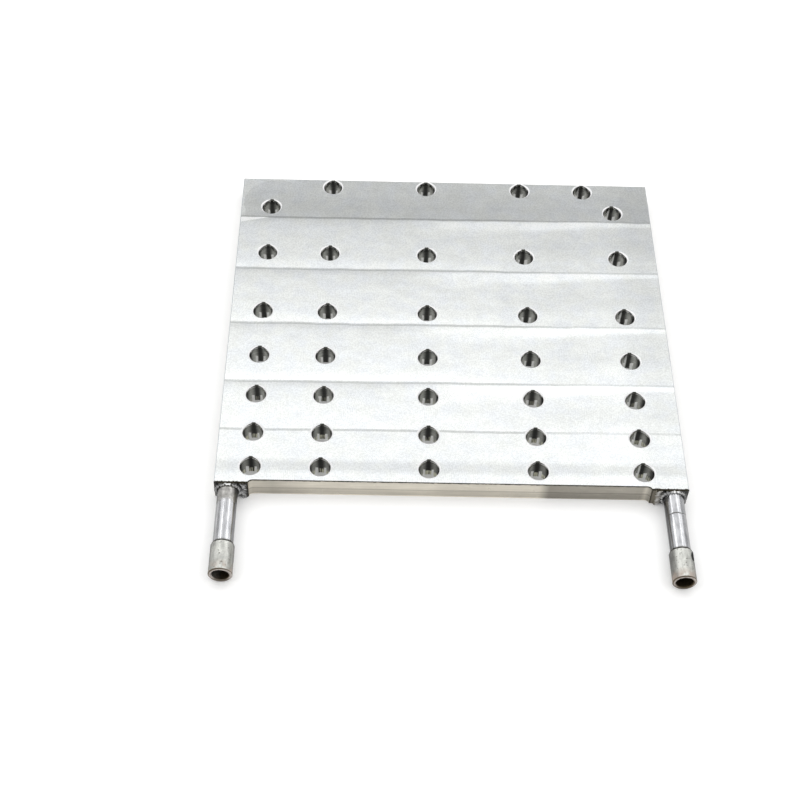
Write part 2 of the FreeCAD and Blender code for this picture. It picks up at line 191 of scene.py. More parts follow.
top_finish, tree, shader, place = new_finish("fly_cut_top", (0.88, 0.88, 0.89), 0.34)
x, y, _ = split(tree, place)
wander = spread(tree, noise(tree, place, 22, 2, (1, 0.2, 1)), 0.3, 0.7, -0.4, 0.4)
wavy = maths(tree, "SUBTRACT", maths(tree, "ADD", y, wander),
             maths(tree, "MULTIPLY", x, line_slope))
pass_start = pass_lines[3]
offset = maths(tree, "WRAP", wavy, pass_start + pass_width, pass_start)
past_line = maths(tree, "SUBTRACT", pass_start + pass_width, offset)
squeeze = maths(tree, "SUBTRACT", spread(tree, past_line, 0, 5, 0, 5),
                spread(tree, past_line, 5, 40, 0, 5))
squeeze = maths(tree, "MULTIPLY", squeeze, spread(tree, x, 50, 135, -0.3, 1.2))
squeeze = maths(tree, "MULTIPLY", squeeze, spread(tree, x, 30, 60, 0, 1))
into_pass = maths(tree, "SUBTRACT", offset, pass_start)
# Each pass's tones: its own cut, with painted reflection of the lamps.
left = tones(tree, into_pass, left_pass_and_sheen)
middle = tones(tree, into_pass, middle_pass_and_sheen)
right = tones(tree, maths(tree, "SUBTRACT", into_pass, squeeze), right_pass_and_sheen)
side = maths(tree, "ADD", x, maths(tree, "MULTIPLY", wander, 30))
tone = blend(tree, spread(tree, side, *left_to_middle, 0, 1), left, middle)
tone = blend(tree, spread(tree, side, *middle_to_right, 0, 1), tone, right)
smudge = blend(tree, band(tree, wavy, *smudge_place, 4), grey(front_strip), grey(front_smudge))
tone = blend(tree, spread(tree, wavy, pass_lines[0] - 0.3, pass_lines[0], 1, 0), tone, smudge)
# Painted shade makes the back strip darker.
tone = blend(tree, spread(tree, wavy, pass_lines[4], pass_lines[4] + 0.3, 0, 1), tone,
             spread(tree, y, *back_strip_shade_place, *back_strip_shade))
lines = 0.0
for line_y in pass_lines:
    lines = maths(tree, "MAXIMUM", lines,
                  band(tree, wavy, line_y - line_before, line_y + line_after, 0.5))
lines = maths(tree, "MULTIPLY", lines, spread(tree, x, 40, 80, 0.33, 0.16))
tone = blend(tree, lines, tone, grey(0))
# Painted shade darkens the right end of the top.
tone = blend(tree, spread(tree, x, *right_end_shade, 0, 1), tone, grey(0.88), "MULTIPLY")
# Where the cutter ran in: an arc over the back left corner, and a bright wedge before it.
run_in_x, run_in_y, run_in_radius = -116.6, 106.8, 22.0
corner = squares(tree, maths(tree, "SUBTRACT", x, run_in_x), maths(tree, "SUBTRACT", y, run_in_y))
corner = maths(tree, "MULTIPLY", band(tree, corner, run_in_radius ** 2, 5000, 14),
               band(tree, maths(tree, "SUBTRACT", y, x), 235, 400, 4))
tone = blend(tree, maths(tree, "MULTIPLY", corner, 0.4), tone, grey(0.9))
wedge_end = spread(tree, x, -139, -119, 86.8, 92.0)
wedge = maths(tree, "MULTIPLY", spread(tree, maths(tree, "SUBTRACT", y, wedge_end), 0, 0.8, 0, 1),
              spread(tree, y, 91.6, 92.2, 1, 0))
wedge = maths(tree, "MULTIPLY", wedge, spread(tree, x, -122, -118, 1, 0))
tone = blend(tree, wedge, tone, grey(1))
# Faint blotches of the coolant, some with a blue tint.
cloud = spread(tree, noise(tree, place, 7, 4, (0.5, 1, 1)), 0.3, 0.7, 0.95, 1.04)
tone = tinted(tree, tone, cloud)
tint = spread(tree, noise(tree, place, 11, 4), 0.42, 0.62, 0, 1)
tint = blend(tree, tint, (0.977, 1.0, 0.982, 1), (0.955, 0.985, 1.0, 1))
tone = tinted(tree, tone, tint)
specks = spread(tree, noise(tree, place, 0.95, 4), 0.35, 0.65, 0.915, 1.11)
tone = tinted(tree, tone, specks)
# The swept marks of the cutter's teeth.
offset = maths(tree, "WRAP", y, pass_start + pass_width, pass_start)
offset = maths(tree, "SUBTRACT", offset, pass_start + pass_width / 2)
reach = maths(tree, "SUBTRACT", cutter_radius ** 2, maths(tree, "POWER", offset, 2.0))
sweep = maths(tree, "ADD", x, maths(tree, "SQRT", reach))
teeth = maths(tree, "SINE", maths(tree, "MULTIPLY", sweep, 2 * math.pi / cutter_feed))
teeth_seen = spread(tree, noise(tree, place, 18, 2), 0.4, 0.65, 0, 1)
teeth = maths(tree, "MULTIPLY", teeth, teeth_seen)
tone = tinted(tree, tone, spread(tree, teeth, -1, 1, 0.945, 1.06))
# Soot of the weld along the front edge of the two blocks, and a burnt pit beside each.
block_top = maths(tree, "ADD", spread(tree, x, -120.4, -119.8, 1, 0),
                  spread(tree, x, 117.8, 118.4, 0, 1))
ragged = spread(tree, noise(tree, place, 0.9, 3), 0.35, 0.65, -129.9, -129.2)
soot = maths(tree, "MULTIPLY", block_top,
             spread(tree, maths(tree, "SUBTRACT", y, ragged), -0.1, 0.1, 1, 0))
tone = blend(tree, soot, tone, soot_colour)
from_pit = maths(tree, "MINIMUM",
                 *[distance(tree, place, (*pit, plate_thickness)) for pit in pits])
tone = blend(tree, spread(tree, from_pit, 0.45, 0.6, 1, 0), tone, soot_colour)
tree.links.new(tone, shader.inputs["Base Color"])
tree.links.new(spread(tree, noise(tree, place, 5, 3), 0.3, 0.7, 0.31, 0.39),
               shader.inputs["Roughness"])
emboss(tree, shader, maths(tree, "ADD", teeth, noise(tree, place, 0.8, 3)), 0.003)

# Milled edges: pale grey with a warm tint and fine lines along the cut. Along the front, painted
# light and shade: darker beside the left block and towards the right end, with a painted highlight
# stripe near the right block. Up the front, a painted highlight along the lower edge, the lower
# pass darker and a dark line where the passes meet. A ragged painted shadow of a burr runs along
# the front's upper edge. The front's tones are for places along it and for heights above its lower
# edge, in millimetres.
front_light_stops = ((-120, 1.0), (-106, 0.72), (-82, 1.0), (52, 1.0), (58, 0.47), (113, 0.62),
               (115, 0.95), (117, 0.58))
height_tones_and_edge_highlight = ((0, 1.12), (0.8, 1.12), (1.1, 0.72), (5.6, 0.78), (5.9, 0.6), (6.7, 0.63),
                (7.1, 0.86), (11, 0.88), (12.8, 0.8))
edge_finish, tree, shader, place = new_finish("milled_edge", (0.66, 0.63, 0.56), 0.32)
x, y, z = split(tree, place)
at_front = spread(tree, y, -127.5, -128, 0, 1)
# Painted light and shade along the front, and a painted highlight along its lower edge.
painted_front_light = tinted(tree, tones(tree, x, front_light_stops), tones(tree, z, height_tones_and_edge_highlight))
tone = blend(tree, at_front, (0.7, 0.745, 0.83, 1), painted_front_light)
lines = spread(tree, noise(tree, place, 0.6, 3, (0.02, 0.02, 1)), 0.3, 0.7, 0.9, 1.06)
tone = tinted(tree, tone, lines)
tone = tinted(tree, tone, (0.735, 0.69, 0.60, 1))
blotch = spread(tree, noise(tree, place, 6, 3, (0.4, 0.4, 1)), 0.3, 0.7, 0.93, 1.05)
tone = tinted(tree, tone, blotch)
# A painted shadow of a burr: a ragged dark line along the front's upper edge.
burr_shadow_edge = spread(tree, noise(tree, place, 2.2, 4), 0.35, 0.65, 13.2, 13.6)
burr_shadow = maths(tree, "MULTIPLY", at_front,
             spread(tree, maths(tree, "SUBTRACT", z, burr_shadow_edge), -0.1, 0.1, 0, 1))
tone = blend(tree, burr_shadow, tone, (0.05, 0.047, 0.038, 1))
# The sides' upper edges are painted blue-grey, a painted reflection.
side_edge_reflection = maths(tree, "MULTIPLY", spread(tree, maths(tree, "ABSOLUTE", x), 139.3, 139.5, 0, 0.9),
                  spread(tree, z, 13.4, 13.6, 0, 1))
tone = blend(tree, side_edge_reflection, tone, (0.5, 0.53, 0.56, 1))
tree.links.new(tone, shader.inputs["Base Color"])
tree.links.new(spread(tree, noise(tree, place, 3, 3), 0.3, 0.7, 0.27, 0.4),
               shader.inputs["Roughness"])
emboss(tree, shader, noise(tree, place, 0.5, 3, (0.04, 0.04, 1)), 0.012)

# Reamed walls with painted reflections: dark where they face along the plate and greyer at the
# sides, darker in the front rows, with two painted highlights low down, painted light low in the
# front rows, a painted highlight stripe in the right-hand holes and a painted bright band under
# the countersink. Most of it goes by the way a wall faces.
wall_reflection_stops = ((0.0, 0.05), (0.16, 0.07), (0.28, 0.22), (0.42, 0.45), (0.6, 0.62),
              (0.74, 0.5), (0.86, 0.22), (0.95, 0.05), (1.0, 0.02))
glint_height = 5.6
last_column = 92

wall_finish, tree, shader, place = new_finish("reamed_wall", (0.33, 0.34, 0.32), 0.2)
x, y, z = split(tree, place)
facing, _, _ = split(tree, node(tree, "Attribute", output="Vector", attribute_name="facing"))
facing = maths(tree, "ADD", facing,
               spread(tree, noise(tree, place, 2.5, 2, (1, 1, 0.3)), 0.3, 0.7, -0.04, 0.04))
sideways = maths(tree, "ABSOLUTE", facing)
# Painted reflection, by the way the wall faces.
painted_wall_reflections = tones(tree, sideways, wall_reflection_stops)
rings = spread(tree, noise(tree, place, 0.5, 2, (0.05, 0.05, 1)), 0.3, 0.7, 0.8, 1.15)
# Painted shade darkens the walls of the front rows, and painted light lies low in them.
painted_wall_reflections = blend(tree, spread(tree, y, -40, -110, 0, 0.4), painted_wall_reflections, grey(0))
front_row_light = maths(tree, "MULTIPLY", spread(tree, y, -40, -90, 0, 0.8),
                   spread(tree, noise(tree, place, 0.9, 2, (1, 1, 0.05)), 0.42, 0.58, 0, 1))
front_row_light = maths(tree, "MULTIPLY", front_row_light, spread(tree, z, 3.2, 4.4, 1, 0))
tone = blend(tree, front_row_light, painted_wall_reflections, (0.9, 0.88, 0.75, 1))
tone = tinted(tree, tone, rings)
tone = tinted(tree, tone, (0.95, 0.96, 0.9, 1))
# Two painted highlights low on the walls, at the sides.
lip = maths(tree, "SUBTRACT", z, maths(tree, "MULTIPLY", sideways, 4.0))
low_down = spread(tree, lip, glint_height - 1.9, glint_height - 1.3, 1, 0)
low_glints = maths(tree, "MULTIPLY", band(tree, sideways, 0.3, 0.5, 0.05), low_down)
# A painted highlight stripe in the walls of the right-hand holes.
highlight_stripe = maths(tree, "MULTIPLY", band(tree, facing, 0.24, 0.36, 0.05),
               spread(tree, x, last_column, last_column + 2, 0, 0.8))
tone = blend(tree, maths(tree, "MAXIMUM", low_glints, highlight_stripe), tone, (1, 1, 0.98, 1))
# A painted bright band just under the countersink.
lit_shoulder = maths(tree, "ADD", z, maths(tree, "MULTIPLY", sideways, 1.6))
lit_shoulder = maths(tree, "MULTIPLY", spread(tree, lit_shoulder, 12.9, 13.3, 0, 1),
                 band(tree, sideways, 0.2, 0.85, 0.08))
tone = blend(tree, lit_shoulder, tone, grey(1))
tree.links.new(tone, shader.inputs["Base Color"])
tree.links.new(spread(tree, sideways, 0.8, 1.0, 0.2, 0.7), shader.inputs["Roughness"])
emboss(tree, shader, noise(tree, place, 0.4, 2, (0.05, 0.05, 1)), 0.01)

# Countersinks: bright, with fine chatter round the cone and a painted dark reflection at the back.
sink_finish, tree, shader, place = new_finish("countersink", (0.96, 0.96, 0.96), 0.5, 0.15)
_, _, z = split(tree, place)
facing, backwards, _ = split(tree, node(tree, "Attribute", output="Vector",
                                        attribute_name="facing"))
chatter = spread(tree, noise(tree, place, 0.8, 2), 0.3, 0.7, 0.88, 0.99)
back_notch_width = spread(tree, z, 13.6, 13.12, 0.1, 0.5)
back_notch_reflection = maths(tree, "SUBTRACT", maths(tree, "ABSOLUTE", facing), back_notch_width)
back_notch_reflection = maths(tree, "MULTIPLY", spread(tree, back_notch_reflection, 0, 0.05, 1, 0),
              spread(tree, backwards, -0.2, 0.0, 1, 0))
tree.links.new(blend(tree, back_notch_reflection, chatter, (0.03, 0.03, 0.022, 1)),
               shader.inputs["Base Color"])
emboss(tree, shader, noise(tree, place, 0.5, 2), 0.01)

# Drilled coolant bores, dull inside.
bore_finish, tree, shader, place = new_finish("drilled_bore", (0.22, 0.2, 0.17), 0.5)
tree.links.new(spread(tree, noise(tree, place, 1.5, 3), 0.3, 0.7, 0.12, 0.26),
               shader.inputs["Base Color"])
emboss(tree, shader, noise(tree, place, 0.6, 2), 0.03)


def apply_place():
    """Leaves the active piece's place in its mesh, with its object at the origin."""
    bpy.ops.object.transform_apply(location=True, rotation=True, scale=True)


def add_block(name, low, high):
    """A block between two corners, on its own selected."""
    bpy.ops.object.select_all(action="DESELECT")
    low, high = Vector(low), Vector(high)
    bpy.ops.mesh.primitive_cube_add(size=1, location=(low + high) / 2, scale=high - low)
    bpy.context.object.name = name
    apply_place()
    return bpy.context.object


def add_rod(name, start, end, radius, sides=96):
    """A round bar between two points, on its own selected."""
    bpy.ops.object.select_all(action="DESELECT")
    start, end = Vector(start), Vector(end)
    turn = (end - start).to_track_quat("Z", "Y").to_euler()
    bpy.ops.mesh.primitive_cylinder_add(vertices=sides, radius=radius,
                                        depth=(end - start).length,
                                        location=(start + end) / 2, rotation=turn)
    bpy.context.object.name = name
    apply_place()
    return bpy.context.object


def pick(piece):
    """Selects a piece alone, and makes it the active one."""
    bpy.ops.object.select_all(action="DESELECT")
    piece.select_set(True)
    bpy.context.view_layer.objects.active = piece


def edit_faces(piece, picked):
    """Opens a piece for editing with the faces selected that picked(middle, normal) says."""
    pick(piece)
    bpy.ops.object.mode_set(mode="EDIT")
    bpy.ops.mesh.select_mode(type="FACE")
    bpy.ops.mesh.select_all(action="DESELECT")
    mesh = bmesh.from_edit_mesh(piece.data)
    for face in mesh.faces:
        face.select_set(picked(face.calc_center_median(), face.normal))
    bmesh.update_edit_mesh(piece.data)


def edit_edges(piece, picked):
    """Opens a piece for editing with the edges selected that picked(middle, way) says."""
    edit_faces(piece, lambda middle, normal: False)
    bpy.ops.mesh.select_mode(type="EDGE")
    mesh = bmesh.from_edit_mesh(piece.data)
    for edge in mesh.edges:
        begin, end = edge.verts[0].co, edge.verts[1].co
        edge.select_set(picked((begin + end) / 2, (end - begin).normalized()))
    bmesh.update_edit_mesh(piece.data)


def close_edit():
    """Ends the editing that edit_faces or edit_edges opened."""
    bpy.ops.object.mode_set(mode="OBJECT")


def apply_modifier(piece, kind, **settings):
    """Adds a modifier to a piece and applies it."""
    modifier = piece.modifiers.new(kind.lower(), kind)
    for setting, value in settings.items():
        setattr(modifier, setting, value)
    pick(piece)
    bpy.ops.object.modifier_apply(modifier=modifier.name)


def cut(piece, tool, operation="DIFFERENCE"):
    """Cuts a piece with a tool, which gives its own finish to the cut and is then gone."""
    apply_modifier(piece, "BOOLEAN", object=tool, operation=operation, solver="EXACT",
                   material_mode="TRANSFER")
    bpy.data.objects.remove(tool)


def copy_of(piece):
    """A copy of a piece with its own mesh, on its own selected."""
    pick(piece)
    bpy.ops.object.duplicate()
    return bpy.context.object


def join(pieces):
    """Makes several pieces one, and returns it."""
    bpy.ops.object.select_all(action="DESELECT")
    for piece in pieces:
        piece.select_set(True)
    bpy.context.view_layer.objects.active = pieces[0]
    bpy.ops.object.join()
    return bpy.context.object


plate = add_block("milled_plate", plate_low, plate_high)
plate.data.materials.append(edge_finish)

# Every cutter runs on past the face that it leaves by, and the end mill's path reaches out
# in front.
overshoot = 0.001
path_reach = 0.02
# The end mill's corner goes on in front of the front face, so its path starts wider.
run_out = recess_corner - math.sqrt(recess_corner ** 2 - (recess_corner - recess_depth) ** 2)
mill = add_block("end_mill_path",
                 (recess_left - run_out, front - path_reach, underside - overshoot),
                 (recess_right + run_out, front + recess_depth, top + overshoot))
edit_edges(mill, lambda middle, way: abs(way.z) > 0.9 and middle.y > front)
bpy.ops.mesh.bevel(offset=recess_corner, segments=12, affect="EDGES")
close_edit()
cut(plate, mill)
edit_edges(plate, lambda middle, way: abs(way.z) < 0.1)
bpy.ops.mesh.bevel(offset=edge_break, segments=2, affect="EDGES")
close_edit()
cut(plate, add_block("lower_pass",
                     (recess_left + recess_corner, front - path_reach, underside - overshoot),
                     (recess_right - recess_corner, front + recess_depth + lower_pass_depth,
                      lower_pass_top)))

# Screw holes: five columns on six rows, and six more holes towards the back.
hole_radius = 0.00625
countersink = 0.0009
columns = (-0.1195, -0.078, -0.0135, 0.0515, 0.1145)
rows = (-0.118, -0.0925, -0.063, -0.031, 0.0065, 0.058985)
seventh_row, back_row = 0.10245, 0.12295
back_right_column = 0.095
holes = [(column, row) for row in rows for column in columns]
holes += [(columns[0], seventh_row), (columns[4], seventh_row)]
holes += [(column, back_row) for column in (*columns[1:4], back_right_column)]

drill = add_rod("drill", (0, 0, underside - overshoot), (0, 0, top - countersink), hole_radius)
drill.data.materials.append(wall_finish)
drill.data.materials.append(sink_finish)
edit_faces(drill, lambda middle, normal: normal.z > 0.9)
for rise in (countersink, overshoot):
    radius_before = max(vertex.co.x for vertex in bmesh.from_edit_mesh(drill.data).verts
                        if vertex.select)
    grow = (radius_before + rise) / radius_before
    bpy.ops.mesh.extrude_region_move(TRANSFORM_OT_translate={"value": (0, 0, rise)})
    bpy.ops.transform.resize(value=(grow, grow, 1), center_override=(0, 0, top))
close_edit()
edit_faces(drill, lambda middle, normal: middle.z > top - countersink)
drill.active_material_index = 1
bpy.ops.object.material_slot_assign()
close_edit()
drills = []
for column, row in holes:
    drills.append(copy_of(drill))
    drills[-1].location = (column, row, 0)
    apply_place()
bpy.data.objects.remove(drill)
cut(plate, join(drills))

# Coolant bores: a header behind each pipe, and the cross bores from the right face.
header_radius = 0.004
cross_bore_radius = 0.0035
seat_radius = 0.00605
seat_depth = 0.003
plug_count = 8


def axis_of(name):
    """The middle of a CAD node."""
    low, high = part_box(name)
    return (low + high) / 2


last_bore = axis_of(f"bore_plug_{plug_count}")
headers, seats = [], []
for side in ("inlet", "outlet"):
    x, _, z = axis_of(f"{side}_pipe")
    headers.append(add_rod("header", (x, front - overshoot, z), (x, last_bore.y, z),
                           header_radius))
    seats.append(add_rod("seat", (x, front - overshoot, z), (x, front + seat_depth, z),
                         seat_radius))
cross_bores = []
for number in range(1, plug_count + 1):
    _, y, z = axis_of(f"bore_plug_{number}")
    cross_bores.append(add_rod("cross_bore", (axis_of("inlet_pipe").x, y, z),
                               (plate_high.x + overshoot, y, z), cross_bore_radius, 64))
for tools in (headers, seats, cross_bores):
    tool = join(tools)
    tool.data.materials.append(bore_finish)
    cut(plate, tool)

# What lies within a hair of a face is on that face.
hair = 0.00001
plate.data.materials.append(top_finish)
edit_faces(plate, lambda middle, normal: abs(normal.z) > 0.99
           and (middle.z > top - hair or middle.z < underside + hair))
plate.active_material_index = len(plate.data.materials) - 1
bpy.ops.object.material_slot_assign()
close_edit()
bpy.ops.object.shade_smooth_by_angle(angle=math.radians(20))
# The finishes of the holes go by the way that a wall faces, so the plate keeps it.
facing = plate.data.attributes.new("facing", "FLOAT_VECTOR", "CORNER")
for corner, normal in zip(facing.data, plate.data.corner_normals):
    corner.vector = normal.vector
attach(plate, "root")
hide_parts("cold_plate")


# ---------------------------------------------------------------- the bore plugs
# Eight short slugs of aluminium bar, faced in a lathe. Each is brazed into the open end
# of a cross bore and sits flush with the right face.

turning_feed = 0.35


def refinish(piece, finish):
    """Makes a finish the only one of a piece."""
    piece.data.materials.clear()
    piece.data.materials.append(finish)


for number in range(1, plug_count + 1):
    name = f"bore_plug_{number}"
    plug_finish, tree, shader, place = new_finish(f"faced_slug_{number}",
                                                  (0.6, 0.6, 0.59), 0.34)
    centre = axis_of(name) * 1000
    from_centre = distance(tree, place, (plate_high.x * 1000, *centre.yz))
    turned = maths(tree, "MULTIPLY", from_centre, 2 * math.pi / turning_feed)
    turned = maths(tree, "SINE", turned)
    cloud = spread(tree, noise(tree, place, 1.8, 3), 0.3, 0.7, 0.9, 1.06)
    shade = maths(tree, "MULTIPLY", cloud, spread(tree, turned, -1, 1, 0.55, 0.63))
    braze_line = spread(tree, from_centre, cross_bore_radius * 1000 - 0.3,
                        cross_bore_radius * 1000 - 0.2, 0, 0.75)
    shade = blend(tree, braze_line, shade, (0.16, 0.15, 0.13, 1))
    tree.links.new(shade, shader.inputs["Base Color"])
    emboss(tree, shader, turned, 0.008)
    refinish(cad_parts[name], plug_finish)


# ---------------------------------------------------------------- the pipes
# Two lengths of drawn aluminium tube, 12 mm outside with a 1 mm wall. Each is pushed into
# its seat in a corner block, and the heat of the weld has dulled its root.

pipe_wall = 0.001

# The tone is painted light and shade, by how far a place lies from the pipe's axis towards the
# other pipe, in millimetres: painted shade at both flanks, darker on the outlet's outer side, with
# one painted highlight line on the inner side of the inlet.
side_tones = ((-6, 0.08), (-4.8, 0.45), (-1.6, 0.56), (0.5, 0.42), (2.6, 0.6), (3.6, 0.92),
              (4.6, 0.32), (6, 0.06))
outlet_side_tones = ((-6, 0.06), (-4.8, 0.28), (-1.2, 0.58), (1.2, 0.48), (4.4, 0.6), (5.5, 0.25),
                     (6, 0.06))
stain_end = -141.5
cut_line = -145.5
# Both axes are taken as half of their distance away from the middle, a quarter of a
# millimetre beside the true places.
axis_across = (axis_of("outlet_pipe").x - axis_of("inlet_pipe").x) / 2 * 1000
axis_height = axis_of("outlet_pipe").z * 1000


def from_pipe(tree, place):
    """How far a place lies from its pipe's axis: towards the other pipe, upwards, and in all."""
    x, _, z = split(tree, place)
    inward = maths(tree, "SUBTRACT", axis_across, maths(tree, "ABSOLUTE", x))
    upright = maths(tree, "SUBTRACT", z, axis_height)
    return inward, upright, maths(tree, "SQRT", squares(tree, inward, upright))


pipe_finish, tree, shader, place = new_finish("drawn_tube", (0.55, 0.56, 0.57), 0.15)
x, y, _ = split(tree, place)
inward, _, _ = from_pipe(tree, place)
at_outlet = spread(tree, x, -1, 1, 0, 1)
# Painted light and shade across each pipe.
painted_side_light = blend(tree, at_outlet, tones(tree, inward, side_tones),
                  tones(tree, inward, outlet_side_tones))
drawn = spread(tree, noise(tree, place, 0.7, 3, (1, 0.03, 1)), 0.3, 0.7, 0.9, 1.08)
bright = tinted(tree, (0.96, 0.97, 1.0, 1), drawn)
smears = spread(tree, noise(tree, place, 2.6, 4, (1, 0.35, 1)), 0.34, 0.62, 0.78, 1.06)
bright = tinted(tree, bright, smears)
blotches = noise(tree, place, 2.2, 4, (1, 0.8, 1))
stained = blend(tree, spread(tree, blotches, 0.4, 0.62, 0, 1),
                (0.52, 0.51, 0.485, 1), (0.86, 0.84, 0.81, 1))
edge_of_stain = spread(tree, noise(tree, place, 3.5, 3), 0.3, 0.7,
                       stain_end - 1.5, stain_end + 1.5)
stain = spread(tree, maths(tree, "SUBTRACT", y, edge_of_stain), -0.8, 1.2, 0, 1)
stain = maths(tree, "MULTIPLY", stain, spread(tree, x, -1, 1, 1, 0.12))
tone = tinted(tree, blend(tree, stain, bright, stained), painted_side_light)
bend = spread(tree, noise(tree, place, 3, 2), 0.3, 0.7, -0.25, 0.25)
line = band(tree, maths(tree, "ADD", y, bend), cut_line - 0.2, cut_line + 0.2, 0.15)
line = maths(tree, "MULTIPLY", maths(tree, "MULTIPLY", line, at_outlet), 0.75)
ends = maths(tree, "ADD", spread(tree, y, -168.4, -169.2, 0, 0.8),
             maths(tree, "MULTIPLY", spread(tree, y, -132.9, -132.5, 0, 0.7),
                   spread(tree, x, -1, 1, 1, 0.3)))
tone = blend(tree, maths(tree, "MAXIMUM", line, ends), tone, (0.12, 0.115, 0.1, 1))
tree.links.new(tone, shader.inputs["Base Color"])
gloss = spread(tree, noise(tree, place, 1.6, 3, (1, 0.2, 1)), 0.3, 0.7, 0.12, 0.2)
tree.links.new(maths(tree, "ADD", gloss, maths(tree, "MULTIPLY", stain, 0.2)),
               shader.inputs["Roughness"])
relief = maths(tree, "ADD", maths(tree, "MULTIPLY", noise(tree, place, 0.5, 2, (1, 0.03, 1)), 0.3),
               maths(tree, "MULTIPLY", maths(tree, "MULTIPLY", blotches, stain), 2.0))
emboss(tree, shader, relief, 0.012)

# The outlet has a fine groove turned round it: edges each side of its middle, in metres, and
# the share of the tube's diameter that the middle keeps.
groove_edges = (-0.0009, -0.0003, 0.0, 0.0003, 0.0009)
groove_share = 0.98
# A radius inside the tube's wall.
mid_wall = 0.0055

for side in ("inlet", "outlet"):
    low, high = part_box(f"{side}_pipe")
    x, _, z = (low + high) / 2
    pipe = add_rod(f"{side}_tube", (x, high.y, z), (x, low.y, z), (high.x - low.x) / 2)
    edit_faces(pipe, lambda middle, normal: abs(normal.y) > 0.9)
    bpy.ops.mesh.delete(type="ONLY_FACE")
    close_edit()
    apply_modifier(pipe, "SOLIDIFY", thickness=pipe_wall, offset=-1)
    if side == "outlet":
        for edge in groove_edges:
            bpy.ops.object.mode_set(mode="EDIT")
            bpy.ops.mesh.select_all(action="SELECT")
            bpy.ops.mesh.bisect(plane_co=(x, cut_line / 1000 + edge, z), plane_no=(0, 1, 0))
            close_edit()
        edit_edges(pipe, lambda middle, way: abs(middle.y - cut_line / 1000) < hair
                   and abs(way.y) < 0.1
                   and (Vector((x, middle.y, z)) - middle).length > mid_wall)
        bpy.ops.transform.resize(value=(groove_share, 1, groove_share),
                                 center_override=(x, cut_line / 1000, z))
        close_edit()
    pipe.data.materials.append(pipe_finish)
    bpy.ops.object.shade_smooth_by_angle(angle=math.radians(30))
    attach(pipe, "root")
    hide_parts(f"{side}_pipe")


# ---------------------------------------------------------------- the welds
# A hand-laid weld joins each pipe to its corner block: puddles of filler overlap in a ring
# round the pipe, and more strands cover the rest of the block's face.

weld_reach = 0.0026
filler_rise, root_depth = 0.0003, 0.0005
ring_puddles = 22
ring_radius = 0.0068
puddle_size = (0.0016, 0.0025, 0.0011)
puddle_tilt = 0.4
strand_count = 11
strand_pitch = 0.0014
strand_place = 0.0092
strand_size = (0.0036, 0.002, 0.0008)
strand_lean = 0.85

# Grey filler with a dark oxide skin. The crests carry painted highlights, a painted highlight lies
# on the toe over the top of the pipe, soot lies along the block's upper edge, and the block's two
# ends are darker, the inner one with painted shade in its corner.
weld_finish, tree, shader, place = new_finish("weld_bead", (0.16, 0.16, 0.165), 0.4)
x, y, z = split(tree, place)
inward, upright, from_axis = from_pipe(tree, place)
at_outlet = spread(tree, x, -1, 1, 0, 1)
# Painted highlights on the crests.
crest = spread(tree, y, -130.9, -132.2, 0, 1)
streaks = spread(tree, noise(tree, place, 0.9, 3, (0.7, 1, 1)), 0.44, 0.6, 0, 1)
crest_highlights = maths(tree, "ADD", maths(tree, "MULTIPLY", crest, 0.4),
             maths(tree, "MULTIPLY", maths(tree, "MULTIPLY", crest, streaks), 0.6))
beside = spread(tree, inward, 4.5, 7.5, 0.36, 0.62)
skin = maths(tree, "MULTIPLY", spread(tree, inward, 6.5, 9, 0, 1), at_outlet)
skin = blend(tree, skin, grey(0.05), (0.17, 0.155, 0.125, 1))
tone = blend(tree, crest_highlights, skin, beside)
# A painted highlight on the toe over the top of the pipe.
toe_highlight = maths(tree, "MULTIPLY", band(tree, from_axis, 6.0, 7.25, 0.25),
            spread(tree, upright, 3.8, 5.8, 0, 1))
toe_highlight = maths(tree, "MULTIPLY", toe_highlight, spread(tree, noise(tree, place, 1.2, 2), 0.3, 0.6, 0.6, 1))
tone = blend(tree, toe_highlight, tone, (0.82, 0.82, 0.81, 1))
undercut = spread(tree, from_axis, 6.05, 6.2, 0.4, 0)
tone = blend(tree, undercut, tone, grey(0.03))
ragged = spread(tree, noise(tree, place, 1.3, 4), 0.35, 0.65, 0, 0.9)
soot = maths(tree, "MULTIPLY",
             spread(tree, maths(tree, "SUBTRACT", z, ragged), 12.7, 13.1, 0, 1),
             spread(tree, maths(tree, "SUBTRACT", y, ragged), -132.0, -131.4, 0, 1))
# The block's two ends are darker; at the inner end this is painted shade in the corner.
ends = maths(tree, "ADD", spread(tree, inward, -7.7, -8.0, 0, 1),
             spread(tree, maths(tree, "SUBTRACT", inward, spread(tree, x, -1, 1, 0, 2)),
                    10.7, 11.2, 0, 0.75))
tone = blend(tree, maths(tree, "MAXIMUM", soot, ends), tone, (0.028, 0.025, 0.017, 1))
tree.links.new(tone, shader.inputs["Base Color"])
tree.links.new(spread(tree, noise(tree, place, 0.8, 3), 0.3, 0.7, 0.22, 0.45),
               shader.inputs["Roughness"])
emboss(tree, shader, noise(tree, place, 0.35, 3), 0.05)

